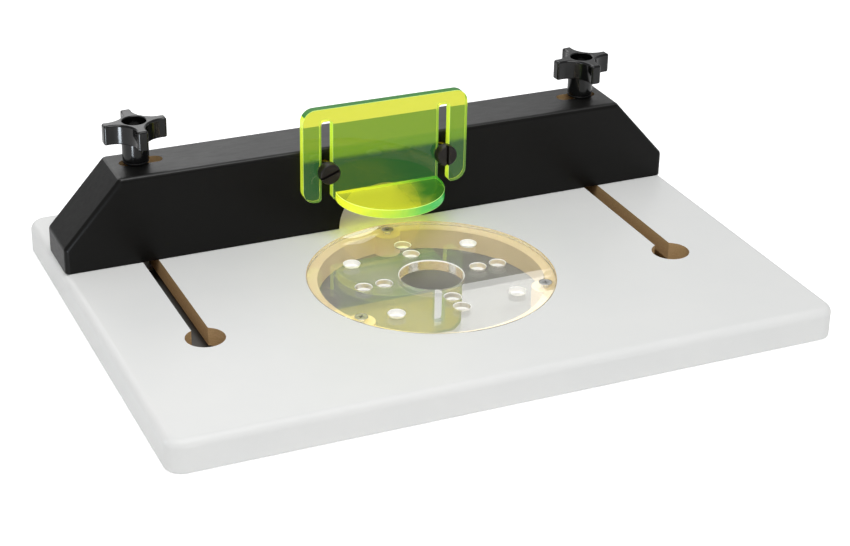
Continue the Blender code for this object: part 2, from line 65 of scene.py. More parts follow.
TABLE_CORNER = 10 * MM
TABLE_TOP_ROUND = 5 * MM
TABLE_BOTTOM_ROUND = 1 * MM
PLATE_Y = (PLATE_LOW.y + PLATE_HIGH.y) / 2
PLATE_RADIUS = (PLATE_HIGH.x - PLATE_LOW.x) / 2
FIT_GAP = 0.3 * MM
OPENING_RADIUS = 66 * MM
EAR_RADIUS = 8 * MM
SCREW_HOLE_RADIUS = 2 * MM
SCREW_HOLE_DEPTH = 3 * MM
EAR_DEGREES = {"back": 90, "left": 210, "right": 330}
BIT_HOLE_RADIUS = 18.7 * MM
CROSS_HOLE_CIRCLES = (29.6 * MM, 42.3 * MM)
SQUARE_HOLES_X = 37.4 * MM
SQUARE_HOLES_Y = (-36.5 * MM, 30.5 * MM)
HOLE_HEAD_RADIUS = 4.75 * MM
HOLE_HEAD_DEPTH = 3 * MM
HOLE_SHANK_RADIUS = 2.4 * MM
HOLE_CHAMFER = 0.4 * MM
HOLE_SIDES = 40

SLOT_WIDTH = 9.6 * MM
SLOT_NECK_DEPTH = 11 * MM
GROOVE_WIDTH = 21 * MM
KEYHOLE_Y = -43.75 * MM
KEYHOLE_RADIUS = 11.2 * MM
SLOT_BACK_Y = 104.45 * MM

FENCE_TOP_HALF = 160.5 * MM
FENCE_END_HEIGHT = 15 * MM
FENCE_ROUND = 3 * MM
ARCH_RADIUS = 27 * MM
FENCE_SLOT_X = 142 * MM
FENCE_SLOT_LENGTH = 26 * MM
FENCE_SLOT_WIDTH = 9 * MM

KNOB_ARM_HEIGHT = 12 * MM
KNOB_ARM_REACH = 18.7 * MM
KNOB_ARM_HALF_WIDTH = 3.1 * MM
KNOB_ARM_CORNER = 1.4 * MM
KNOB_WAIST_RADIUS = 9.4 * MM
KNOB_STEM_RADIUS = 7.8 * MM
KNOB_RECESS_RADIUS = 6.9 * MM
KNOB_RECESS_DEPTH = 9 * MM
KNOB_BORE_RADIUS = 5.8 * MM
KNOB_DEGREES = {"left": 0, "right": 4}

GUARD_CORNER = 8 * MM
GUARD_SLOT_X = 37.65 * MM
GUARD_SLOT_WIDTH = 7.2 * MM
GUARD_SLOT_DEPTH = 50.9 * MM
GUARD_SLOT_CORNER = 1.8 * MM
GUARD_LEG_CORNER = 2.5 * MM
SHELF_RADIUS = 33 * MM
GUARD_SCREW_DEGREES = {"left": 69, "right": 0}


# ---------------------------------------------------------------- outlines


def arc(centre, radius, start, end):
    steps = max(2, round(abs(end - start) / ARC_STEP))
    angles = [start + (end - start) * step / steps for step in range(steps + 1)]
    return [(centre[0] + radius * math.cos(a), centre[1] + radius * math.sin(a)) for a in angles]


def rounded(corners):
    """A closed outline with each corner (x, y, radius) rounded by an arc tangent to both its sides."""
    points = []
    for index, (x, y, radius) in enumerate(corners):
        here = Vector((x, y))
        if radius == 0:
            points.append((x, y))
            continue
        before = (Vector(corners[index - 1][:2]) - here).normalized()
        after = (Vector(corners[(index + 1) % len(corners)][:2]) - here).normalized()
        half = before.angle(after) / 2
        centre = here + (before + after).normalized() * (radius / math.sin(half))
        first = here + before * (radius / math.tan(half)) - centre
        last = here + after * (radius / math.tan(half)) - centre
        start = math.atan2(first.y, first.x)
        swing = math.atan2(first.cross(last), first.dot(last))
        points += arc(centre, radius, start, start + swing)
    return points


def inset(outline, distance):
    """An outline that runs counterclockwise, moved inwards with mitred corners."""
    moved = []
    for index, point in enumerate(outline):
        here = Vector(point)
        arriving = (here - Vector(outline[index - 1])).normalized()
        leaving = (Vector(outline[(index + 1) % len(outline)]) - here).normalized()
        first = Vector((-arriving.y, arriving.x))
        mitre = (first + Vector((-leaving.y, leaving.x))).normalized()
        moved.append(tuple(here + mitre * (distance / mitre.dot(first))))
    return moved


def circle(radius, sides, centre=(0, 0)):
    angles = [math.tau * step / sides for step in range(sides)]
    return [(centre[0] + radius * math.cos(a), centre[1] + radius * math.sin(a)) for a in angles]


def stadium(centre, half_length, half_width, along_y=False):
    points = arc((half_length, 0), half_width, -math.pi / 2, math.pi / 2)
    points += arc((-half_length, 0), half_width, math.pi / 2, 3 * math.pi / 2)
    if along_y:
        points = [(-y, x) for x, y in points]
    return [(centre[0] + x, centre[1] + y) for x, y in points]


def polar(radius, degrees):
    return radius * math.cos(math.radians(degrees)), radius * math.sin(math.radians(degrees))


# ---------------------------------------------------------------- meshes


def finish_mesh(shape, name):
    bmesh.ops.recalc_face_normals(shape, faces=shape.faces)
    mesh = bpy.data.meshes.new(name)
    shape.to_mesh(mesh)
    shape.free()
    return mesh


def prism(outline, low, high, round_low=0.0, round_high=0.0, steps=4):
    """A flat outline made solid between two heights, with rounded rims."""
    rims = []
    for step in range(steps + 1 if round_low else 1):
        angle = math.pi / 2 * step / steps
        rims.append((round_low * (1 - math.sin(angle)), low + round_low * (1 - math.cos(angle))))
    for step in range(steps + 1 if round_high else 1):
        angle = math.pi / 2 * step / steps
        rims.append((round_high * (1 - math.cos(angle)), high - round_high * (1 - math.sin(angle))))
    shape = bmesh.new()
    rings = []
    for distance, height in rims:
        ring = inset(outline, distance) if distance > HAIR else outline
        rings.append([shape.verts.new((x, y, height)) for x, y in ring])
    for lower, upper in zip(rings, rings[1:]):
        for index in range(len(outline)):
            following = (index + 1) % len(outline)
            shape.faces.new((lower[index], lower[following], upper[following], upper[index]))
    shape.faces.new(list(reversed(rings[0])))
    shape.faces.new(rings[-1])
    return finish_mesh(shape, "prism")


def add_rings(shape, rings, columns, close=False, caps=(True, True)):
    """Rings of (radius, height) round Z, joined in order. A radius may be a function of the angle."""
    made = []
    for radius, height in rings:
        if not callable(radius) and radius < HAIR:
            made.append([shape.verts.new((0, 0, height))])
            continue
        ring = []
        for column in range(columns):
            angle = math.tau * column / columns
            reach = radius(angle) if callable(radius) else radius
            ring.append(shape.verts.new((reach * math.cos(angle), reach * math.sin(angle), height)))
        made.append(ring)
    pairs = list(zip(made, made[1:]))
    if close:
        pairs.append((made[-1], made[0]))
    for lower, upper in pairs:
        if len(lower) == 1 and len(upper) == 1:
            continue
        for column in range(columns):
            following = (column + 1) % columns
            corners = [lower[column % len(lower)], lower[following % len(lower)]]
            corners += [upper[following % len(upper)], upper[column % len(upper)]]
            shape.faces.new(list(dict.fromkeys(corners)))
    for ring, cap in ((made[0], caps[0]), (made[-1], caps[1])):
        if cap and not close and len(ring) > 1:
            shape.faces.new(ring)


def turned(profile, columns, close=False):
    shape = bmesh.new()
    add_rings(shape, profile, columns, close)
    return finish_mesh(shape, "turned")


def add_thread(shape, radius, depth, pitch, low, high, columns):
    """The open skin of a V thread round Z. Both its ends run out to the root radius."""
    rows = 6
    spare_turns = 3
    flank_slope = 2.4
    total = rows * (math.ceil((high - low) / pitch) + spare_turns)
    grid = []
    for row in range(total + 1):
        across = row % rows / rows
        crest = min(1, flank_slope * (0.5 - abs(across - 0.5)))
        line = []
        for column in range(columns):
            height = low - pitch + (row / rows + column / columns) * pitch
            height = min(max(height, low), high)
            run_out = min(1, (height - low) / pitch, (high - height) / pitch)
            reach = radius - depth * (1 - crest * run_out)
            angle = math.tau * column / columns
            line.append(shape.verts.new((reach * math.cos(angle), reach * math.sin(angle), height)))
        grid.append(line)
    for row in range(total):
        for column in range(columns):
            wraps = column == columns - 1
            beside = row + rows if wraps else row
            if beside + 1 > total:
                continue
            following = 0 if wraps else column + 1
            corners = (grid[row][column], grid[beside][following])
            corners += (grid[beside + 1][following], grid[row + 1][column])
            shape.faces.new(corners)


def weld(shape):
    bmesh.ops.remove_doubles(shape, verts=shape.verts, dist=HAIR)
    loose = [vert for vert in shape.verts if not vert.link_faces]
    bmesh.ops.delete(shape, geom=loose, context="VERTS")


def placed(mesh, *steps):
    for step in steps:
        mesh.transform(step)
    return mesh


def shift(x, y, z):
    return Matrix.Translation((x, y, z))


STAND = Matrix.Rotation(math.pi / 2, 4, "X")


def box_mesh(low, high):
    (x0, y0, z0), (x1, y1, z1) = low, high
    return prism([(x0, y0), (x1, y0), (x1, y1), (x0, y1)], z0, z1)


def combined(mesh, cutters, operation="DIFFERENCE", material=None):
    """The mesh after a Boolean with each cutter in turn. Faces that a cutter leaves take the material."""
    base = bpy.data.objects.new("base", mesh)
    bpy.context.scene.collection.objects.link(base)
    helpers = []
    for cutter in cutters:
        if material is not None:
            cutter.materials.clear()
            cutter.materials.append(material)
        helper = bpy.data.objects.new("cutter", cutter)
        bpy.context.scene.collection.objects.link(helper)
        helpers.append(helper)
        modifier = base.modifiers.new("boolean", "BOOLEAN")
        modifier.operation = operation
        modifier.solver = "EXACT"
        modifier.material_mode = "TRANSFER"
        modifier.object = helper
    bpy.context.view_layer.update()
    graph = bpy.context.evaluated_depsgraph_get()
    result = bpy.data.meshes.new_from_object(base.evaluated_get(graph), depsgraph=graph)
    if not result.polygons:
        raise RuntimeError("a Boolean left nothing")
    for obj in [base, *helpers]:
        bpy.data.objects.remove(obj)
    shape = bmesh.new()
    shape.from_mesh(result)
    bmesh.ops.remove_doubles(shape, verts=shape.verts, dist=HAIR)
    shape.to_mesh(result)
    shape.free()
    return result


def paint(mesh, material, chosen):
    """Gives the faces that chosen(face) picks another material."""
    mesh.materials.append(material)
    index = len(mesh.materials) - 1
    for face in mesh.polygons:
        if chosen(face):
            face.material_index = index


def show(name, mesh, body, nodes):
    """A finished piece that rides on a body and stands for CAD nodes."""
    piece = bpy.data.objects.new(name, mesh)
    bpy.context.scene.collection.objects.link(piece)
    mesh.name = name
    mesh.shade_smooth()
    mesh.set_sharp_from_angle(angle=SHARP_ANGLE)
    normals = piece.modifiers.new("flat faces stay flat", "WEIGHTED_NORMAL")
    normals.keep_sharp = True
    normals.weight = 100
    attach(piece, body)
    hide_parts(*nodes)
    return piece


# ---------------------------------------------------------------- materials


def add(tree, kind, inputs=None, **settings):
    """A shader node. An input is a value, or the socket that feeds it."""
    made = tree.nodes.new("ShaderNode" + kind)
    for name, value in settings.items():
        setattr(made, name, value)
    for key, value in (inputs or {}).items():
        if isinstance(value, bpy.types.NodeSocket):
            tree.links.new(value, made.inputs[key])
        else:
            made.inputs[key].default_value = value
    return made


def new_material(name, **values):
    """(tree, shader) of a new Principled material with the given socket values."""
    made = bpy.data.materials.new(name)
    made.use_nodes = True
    shader = made.node_tree.nodes["Principled BSDF"]
    for key, value in values.items():
        shader.inputs[key.replace("_", " ")].default_value = value
    return made, made.node_tree, shader


def place(tree, stretch=(1, 1, 1)):
    """Object coordinates, stretched by a factor along each axis."""
    coordinates = add(tree, "TexCoord").outputs["Object"]
    mapping = add(tree, "Mapping", {"Vector": coordinates, "Scale": stretch})
    return mapping.outputs["Vector"]


def noise(tree, size, detail=3.0, roughness=0.55, stretch=(1, 1, 1), distortion=0.0):
    """A noise whose features are about `size` metres across."""
    inputs = {"Vector": place(tree, stretch), "Scale": 1 / size, "Detail": detail}
    inputs.update({"Roughness": roughness, "Distortion": distortion})
    return add(tree, "TexNoise", inputs).outputs["Fac"]


def spread(tree, value, low, high, start=0.3, end=0.7):
    """The value mapped from start..end to low..high."""
    inputs = {"Value": value, "From Min": start, "From Max": end, "To Min": low, "To Max": high}
    return add(tree, "MapRange", inputs).outputs["Result"]


def tint(tree, factor, first, second):
    mix = add(tree, "Mix", {"Factor": factor}, data_type="RGBA")
    for socket, colour in ((mix.inputs[6], first), (mix.inputs[7], second)):
        if isinstance(colour, bpy.types.NodeSocket):
            tree.links.new(colour, socket)
        else:
            socket.default_value = (*colour, 1)
    return mix.outputs[2]


def bump(tree, shader, heights):
    """Bumps from (height, strength, distance) layers, one over the other."""
    normal = None
    for height, strength, distance in heights:
        inputs = {"Height": height, "Strength": strength, "Distance": distance}
        if normal is not None:
            inputs["Normal"] = normal
        normal = add(tree, "Bump", inputs).outputs["Normal"]
    tree.links.new(normal, shader.inputs["Normal"])


def feed(tree, shader, **sockets):
    for key, socket in sockets.items():
        tree.links.new(socket, shader.inputs[key.replace("_", " ")])


def fade(made, axis, low, high, ragged_by=24 * MM, **colours):
    """Colours that change along an axis between two places, with a ragged border."""
    tree = made.node_tree
    coordinates = add(tree, "TexCoord").outputs["Object"]
    along = add(tree, "SeparateXYZ", {0: coordinates}).outputs[axis]
    ragged = {0: noise(tree, 14 * MM, 3, 0.6, (1, 1, 1), 1.5), 1: ragged_by, 2: along}
    along = add(tree, "Math", ragged, operation="MULTIPLY_ADD").outputs["Value"]
    along = spread(tree, along, 0, 1, low + ragged_by / 2, high + ragged_by / 2)
    for socket, (first, last) in colours.items():
        feed(tree, tree.nodes["Principled BSDF"], **{socket: tint(tree, along, first, last)})


def foil_material(name, light, dark, roughness, grain, specular):
    """A printed foil on MDF: even colour with faint clouding, and a fine pebbled skin."""
    made, tree, shader = new_material(name, Specular_IOR_Level=specular)
    clouds = noise(tree, 60 * MM, 4)
    specks = noise(tree, 0.5 * MM, 2)
    colour = tint(tree, spread(tree, clouds, 0, 1), light, dark)
    colour = tint(tree, spread(tree, specks, 0.0, 0.35, 0.45, 0.8), colour, dark)
    scuffs = noise(tree, 9 * MM, 5, 0.65, (1, 3, 3), 0.6)
    feed(tree, shader, Base_Color=colour)
    feed(tree, shader, Roughness=spread(tree, scuffs, roughness[0], roughness[1]))
    pebbles = noise(tree, 0.7 * MM, 3, 0.6)
    swell = noise(tree, 14 * MM, 2, 0.5)
    bump(tree, shader, [(swell, 0.12, 0.4 * MM), (pebbles, grain, 0.05 * MM)])
    return made


def mdf_material(name, light, dark, glow=(0, 0, 0), strength=0.0):
    """Bare routed MDF: short fibres in layers. The glow stands for light that clear acrylic brings to it."""
    made, tree, shader = new_material(name, Specular_IOR_Level=0.25, Roughness=0.85)
    shader.inputs["Emission Color"].default_value = (*glow, 1)
    shader.inputs["Emission Strength"].default_value = strength
    fibres = noise(tree, 2.2 * MM, 6, 0.7, (1, 1, 5), 0.4)
    layers = noise(tree, 9 * MM, 4, 0.6, (0.25, 0.25, 9), 0.2)
    specks = noise(tree, 0.45 * MM, 2, 0.6)
    colour = tint(tree, spread(tree, fibres, 0, 1), light, dark)
    colour = tint(tree, spread(tree, layers, 0, 0.55, 0.35, 0.75), colour, dark)
    colour = tint(tree, spread(tree, specks, 0, 0.5, 0.55, 0.8), colour, tuple(c * 0.4 for c in dark))
    feed(tree, shader, Base_Color=colour)
    bump(tree, shader, [(fibres, 0.35, 0.25 * MM), (specks, 0.3, 0.08 * MM)])
    return made


ACRYLIC_IOR = 1.49


def clear_material(name, shadow, transmission, **values):
    """Polished acrylic sheet. Lamp light passes through it, tinted, so what lies behind is lit."""
    made, tree, shader = new_material(name, Transmission_Weight=transmission, IOR=ACRYLIC_IOR, **values)
    smears = noise(tree, 18 * MM, 4, 0.6, (1, 2, 1), 0.8)
    feed(tree, shader, Roughness=spread(tree, smears, 0.0, 0.03))
    passing = add(tree, "BsdfTransparent", {"Color": (*shadow, 1)}).outputs["BSDF"]
    ray = add(tree, "LightPath").outputs["Is Shadow Ray"]
    mix = add(tree, "MixShader", {0: ray, 1: shader.outputs["BSDF"], 2: passing})
    output = tree.nodes["Material Output"]
    tree.links.new(mix.outputs["Shader"], output.inputs["Surface"])
    return made


def cut_acrylic_material(
    name, colour, transmission, roughness, grit, glow=(0, 0, 0), strength=0.0, **values
):
    """A machined acrylic face: frosted by fine tool marks. A glow, where one is given, is painted light."""
    made, tree, shader = new_material(
        name,
        Base_Color=(*colour, 1),
        Transmission_Weight=transmission,
        IOR=ACRYLIC_IOR,
        Emission_Color=(*glow, 1),
        Emission_Strength=strength,
        **values,
    )
    marks = noise(tree, 0.5 * MM, 4, 0.7, (1, 1, 4))
    feed(tree, shader, Roughness=spread(tree, marks, roughness - 0.08, roughness + 0.08))
    bump(tree, shader, [(marks, grit, 0.1 * MM)])
    return made


def plastic_material(name, light, dark, roughness, specular):
    """Moulded black plastic: a faint orange peel, and dust-fine variation in gloss."""
    made, tree, shader = new_material(name, Specular_IOR_Level=specular)
    clouds = noise(tree, 6 * MM, 4, 0.6)
    feed(tree, shader, Base_Color=tint(tree, spread(tree, clouds, 0, 1), light, dark))
    feed(tree, shader, Roughness=spread(tree, clouds, roughness[0], roughness[1]))
    peel = noise(tree, 1.6 * MM, 3, 0.5)
    grit = noise(tree, 0.25 * MM, 2, 0.5)
    bump(tree, shader, [(peel, 0.06, 0.1 * MM), (grit, 0.05, 0.02 * MM)])
    return made


def metal_material(name, light, dark, roughness, streak):
    """Plated or turned metal: cloudy colour, and fine marks drawn out round the axis."""
    made, tree, shader = new_material(name, Metallic=1.0)
    clouds = noise(tree, 3 * MM, 5, 0.65)
    lines = noise(tree, 0.8 * MM, 4, 0.6, (1, 1, 12))
    feed(tree, shader, Base_Color=tint(tree, spread(tree, clouds, 0, 1), light, dark))
    feed(tree, shader, Roughness=spread(tree, lines, roughness[0], roughness[1]))
    bump(tree, shader, [(lines, streak, 0.03 * MM)])
    return made


WHITE = ((0.80, 0.80, 0.785), (0.77, 0.775, 0.765))
BLACK = ((0.0045, 0.0042, 0.0036), (0.003, 0.0028, 0.0024))
WHITE_FOIL = foil_material("white_foil", *WHITE, roughness=(0.34, 0.46), grain=0.10, specular=0.4)
BLACK_FOIL = foil_material("black_foil", *BLACK, roughness=(0.34, 0.44), grain=0.22, specular=0.17)
# A copy of the black foil with stronger specular, for the fence's top faces only: a painted sheen.
SHEEN_TOP_FOIL = foil_material("black_foil_top_sheen", *BLACK, roughness=(0.34, 0.44), grain=0.22, specular=0.55)

MDF = mdf_material("routed_mdf", (0.74, 0.52, 0.28), (0.52, 0.33, 0.15))
# A lit copy of the MDF for the rebate and opening under the clear insert: its paler colour and its glow are
# painted light for what the acrylic lets through.
LIT_MDF = mdf_material("rebated_mdf_lit", (0.62, 0.51, 0.32), (0.54, 0.42, 0.24), (0.42, 0.32, 0.17), 0.6)

CLEAR = clear_material(
    "clear_acrylic",
    shadow=(0.97, 0.975, 0.95),
    transmission=0.94,
    Base_Color=(0.97, 0.975, 0.94, 1),
    Specular_IOR_Level=1.0,
    Coat_Weight=0.5,
    Coat_Roughness=0.02,
)
FROSTED = cut_acrylic_material(
    "frosted_bore", (0.93, 0.88, 0.76), transmission=0.7, roughness=0.40, grit=0.2
)
BORED = cut_acrylic_material(
    "bored_acrylic", (0.96, 0.93, 0.85), transmission=0.88, roughness=0.22, grit=0.10
)
# The drilled faces are frosted white, and they also glow faintly: painted light.
DRILLED_GLOW = cut_acrylic_material(
    "drilled_acrylic_glow",
    (0.95, 0.94, 0.91),
    transmission=0.15,
    roughness=0.55,
    grit=0.25,
    glow=(1, 0.98, 0.94),
    strength=0.12,
)
# The turned lips and chamfers glow white: a painted highlight.
RIM = cut_acrylic_material(
    "turned_rim_glow",
    (0.97, 0.96, 0.93),
    transmission=0.10,
    roughness=0.45,
    grit=0.15,
    glow=(1, 1, 1),
    strength=0.10,
)

# Fluorescent sheet. The glow of its faces is painted light: green low down, where the black fence is behind
# it, and yellower and brighter above that, where the lit fence top shows through.
GREEN = clear_material(
    "fluorescent_acrylic",
    shadow=(0.70, 0.74, 0.14),
    transmission=1.0,
    Base_Color=(0.47, 0.36, 0.04, 1),
    Emission_Strength=0.25,
)
PAINTED_LOW_GLOW = (0.05, 0.235, 0.08)
PAINTED_HIGH_GLOW = (0.34, 0.76, 0.05)
fade(GREEN, "Z", 67 * MM, 69.5 * MM, 3 * MM, Emission_Color=(PAINTED_LOW_GLOW, PAINTED_HIGH_GLOW))
# A shaded copy of the edge material for the upward edges: painted shade.
GREEN_EDGE_SHADED = cut_acrylic_material(
    "fluorescent_edge_shaded",
    (0.015, 0.13, 0.02),
    transmission=0.3,
    roughness=0.40,
    grit=0.06,
    glow=(0.02, 0.26, 0.05),
    strength=0.12,
    Specular_IOR_Level=0.15,
)
# Edge glow: painted light for the light a fluorescent sheet gathers in its edges.
GREEN_EDGE = cut_acrylic_material(
    "fluorescent_edge",
    (0.50, 0.72, 0.10),
    transmission=0.85,
    roughness=0.14,
    grit=0.06,
    glow=(0.30, 0.66, 0.12),
    strength=0.24,
)
# A lit copy of the edge material for the left-facing edges: painted light.
GREEN_EDGE_LIT = cut_acrylic_material(
    "fluorescent_edge_lit",
    (0.80, 0.80, 0.06),
    transmission=0.5,
    roughness=0.16,
    grit=0.06,
    glow=(0.66, 0.78, 0.04),
    strength=0.36,
)
# A pale glow on the rounded rims: a painted highlight.
GREEN_RIM_HIGHLIGHT = cut_acrylic_material(
    "fluorescent_rim_highlight",
    (0.80, 0.95, 0.30),
    transmission=0.4,
    roughness=0.30,
    grit=0.06,
    glow=(0.62, 0.90, 0.22),
    strength=0.45,
)

# The ledge turns from yellow at its left to green at its right: painted light, lit at the left and shaded to
# the right.
YELLOW = (0.78, 0.76, 0.03)
PALE_YELLOW = (0.75, 0.90, 0.40)
SHADED = (0.20, 0.42, 0.05)
EDGE_SHADED = (0.06, 0.50, 0.12)
SHELF_SHADOW = (0.78, 0.80, 0.14)
SHELF_TURN = (4 * MM, 22 * MM)
# Lit yellow to shaded green, in colour and glow: painted light.
SHELF_GREEN = clear_material("fluorescent_shelf", SHELF_SHADOW, transmission=0.9, Emission_Strength=0.06)
fade(
    SHELF_GREEN,
    "X",
    *SHELF_TURN,
    Base_Color=(YELLOW, SHADED),
    Emission_Color=(YELLOW, (0.02, 0.16, 0.04)),
)
# The underside glows pale yellow: painted light.
SHELF_UNDER_GLOW = clear_material(
    "fluorescent_shelf_under_glow", SHELF_SHADOW, transmission=0.9, Emission_Strength=0.45
)
fade(
    SHELF_UNDER_GLOW,
    "X",
    *SHELF_TURN,
    Base_Color=(YELLOW, SHADED),
    Emission_Color=(PALE_YELLOW, (0.10, 0.40, 0.10)),
)
# Edge glow, lit yellow at the left and shaded green to the right: painted light.
SHELF_EDGE = cut_acrylic_material(
    "fluorescent_shelf_edge",
    YELLOW,
    transmission=0.6,
    roughness=0.14,
    grit=0.06,
    glow=YELLOW,
    strength=0.30,
)
fade(
    SHELF_EDGE,
    "X",
    -26 * MM,
    14 * MM,
    Base_Color=(YELLOW, EDGE_SHADED),
    Emission_Color=(YELLOW, (0.04, 0.50, 0.12)),
)

KNOB_PLASTIC = plastic_material(
    "knob_plastic",
    (0.004, 0.004, 0.004),
    (0.002, 0.002, 0.002),
    roughness=(0.10, 0.18),
    specular=0.45,
)
NYLON = plastic_material(
    "screw_nylon",
    (0.016, 0.012, 0.010),
    (0.010, 0.007, 0.006),
    roughness=(0.34, 0.46),
    specular=0.35,
)
ZINC = metal_material(
    "zinc_plate", (0.66, 0.66, 0.64), (0.50, 0.50, 0.49), roughness=(0.34, 0.50), streak=0.10
)
BLACK_OXIDE = metal_material(
    "black_oxide", (0.05, 0.05, 0.05), (0.03, 0.03, 0.032), roughness=(0.30, 0.45), streak=0.08
)
BRASS = metal_material(
    "turned_brass", (0.78, 0.57, 0.25), (0.62, 0.42, 0.16), roughness=(0.18, 0.32), streak=0.10
)


# ---------------------------------------------------------------- board and insert


def ear_centre(angle):
    x, y = polar(OPENING_RADIUS, angle)
    return x, y + PLATE_Y


def build_board():
    half_x = (BOARD_HIGH.x - BOARD_LOW.x) / 2
    half_y = (BOARD_HIGH.y - BOARD_LOW.y) / 2
    top = BOARD_HIGH.z
    outline = rounded([(x * half_x, y * half_y, TABLE_CORNER) for x, y in QUADRANTS])
    board = prism(outline, 0, top, TABLE_BOTTOM_ROUND, TABLE_TOP_ROUND, 8)
    board.materials.append(WHITE_FOIL)

    ledge = PLATE_LOW.z - FIT_GAP
    below = -5 * MM
    above = top + 5 * MM
    # Cutters that overlap end at different depths, so that no two of their faces coincide.
    opening = prism(circle(OPENING_RADIUS, FINE_SIDES, (0, PLATE_Y)), below, ledge + 1 * MM)
    ears = []
    for angle in EAR_DEGREES.values():
        ears.append(prism(circle(EAR_RADIUS, 48, ear_centre(angle)), 2 * below, above))
    cutters = [combined(opening, ears)]
    cutters.append(prism(circle(PLATE_RADIUS + FIT_GAP, FINE_SIDES, (0, PLATE_Y)), ledge, above))
    for angle in EAR_DEGREES.values():
        pilot = circle(SCREW_HOLE_RADIUS, 20, ear_centre(angle))
        cutters.append(prism(pilot, below, ledge + SCREW_HOLE_DEPTH))
    slot_middle = (KEYHOLE_Y + SLOT_BACK_Y) / 2
    slot_half = (SLOT_BACK_Y - KEYHOLE_Y) / 2
    neck_floor = top - SLOT_NECK_DEPTH
    for side in SIDES:
        bolt_low, bolt_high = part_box(f"fence_bolt_{side}")
        x = (bolt_low.x + bolt_high.x) / 2
        centre = (x, slot_middle)
        cutters.append(prism(stadium(centre, slot_half, GROOVE_WIDTH / 2, True), below, neck_floor))
        cutters.append(prism(stadium(centre, slot_half, SLOT_WIDTH / 2, True), 2 * below, above))
        cutters.append(prism(circle(KEYHOLE_RADIUS, 72, (x, KEYHOLE_Y)), 3 * below, above + 1 * MM))
    board = combined(board, cutters, material=MDF)
    opening_reach = PLATE_RADIUS + 2 * MM
    cut_slots = [index for index, material in enumerate(board.materials) if material == MDF]

    def in_opening(face):
        reach = math.hypot(face.center.x, face.center.y - PLATE_Y)
        return face.material_index in cut_slots and reach < opening_reach

    # The opening's walls and ledge take the lit MDF copy, whose paler colour and glow are painted light.
    paint(board, LIT_MDF, in_opening)
    show("board", board, "table", ["table_top"])


def build_insert():
    top = PLATE_HIGH.z
    low = PLATE_LOW.z
    plate = prism(circle(PLATE_RADIUS, FINE_SIDES, (0, PLATE_Y)), low, top, 0.3 * MM, 0.5 * MM, 3)
    plate.materials.append(CLEAR)
    paint(plate, BORED, lambda face: abs(face.normal.z) < 0.3)
    below = low - 1 * MM
    above = top + 1 * MM
    rim = 0.25 * MM

    def hole(profile, columns, x, y):
        return placed(turned(profile, columns), shift(x, y + PLATE_Y, 0))

    def reach_from(face, x, y):
        return math.hypot(face.center.x - x, face.center.y - PLATE_Y - y)

    def slopes(face):
        return 0.3 < abs(face.normal.z) < 0.95

    radius = BIT_HOLE_RADIUS
    lip = 0.55 * MM
    bit_hole = [(0, above), (radius + above - top + lip, above), (radius, top - lip)]
    bit_hole += [(radius, low + rim), (radius + low - below + rim, below), (0, below)]

    def on_lip(face):
        return reach_from(face, 0, 0) < radius + lip and slopes(face) and face.center.z > low + MM

    plate = combined(plate, [hole(bit_hole, 96, 0, 0)], material=BORED)
    # The bit hole's lip takes the painted white highlight.
    paint(plate, RIM, on_lip)

    floor = top - HOLE_HEAD_DEPTH
    head = HOLE_HEAD_RADIUS
    shank = HOLE_SHANK_RADIUS
    mouth = head + HOLE_CHAMFER
    bore = [(0, above), (mouth + above - top, above), (head, top - HOLE_CHAMFER), (head, floor)]
    bore += [(shank, floor), (shank, below), (0, below)]
    cross = [polar(reach, 90 * quarter) for reach in CROSS_HOLE_CIRCLES for quarter in range(4)]
    plate = combined(plate, [hole(bore, HOLE_SIDES, *centre) for centre in cross], material=FROSTED)

    def in_cross_hole(face):
        return min(reach_from(face, *centre) for centre in cross) < mouth

    def under_head(face):
        return low + rim < face.center.z < floor + HAIR and in_cross_hole(face)

    def on_chamfer(face):
        return slopes(face) and face.center.z > floor and in_cross_hole(face)

    paint(plate, BORED, under_head)
    # The chamfers take the painted white highlight.
    paint(plate, RIM, on_chamfer)
    square = [(sign * SQUARE_HOLES_X, y) for sign in SIDES.values() for y in SQUARE_HOLES_Y]
    # The square-set holes take the drilled faces with their painted glow.
    plate = combined(plate, [hole(bore, HOLE_SIDES, *centre) for centre in square], material=DRILLED_GLOW)

    seat_radius = 3.9 * MM
    seat = [(0, above), (seat_radius, above), (seat_radius, top - 0.3 * MM)]
    seat += [(SCREW_HOLE_RADIUS, top - 2.9 * MM), (SCREW_HOLE_RADIUS, below), (0, below)]
    seats = [hole(seat, HOLE_SIDES, *polar(OPENING_RADIUS, angle)) for angle in EAR_DEGREES.values()]
    plate = combined(plate, seats, material=BORED)
    show("clear_insert", plate, "table", ["insert_plate"])


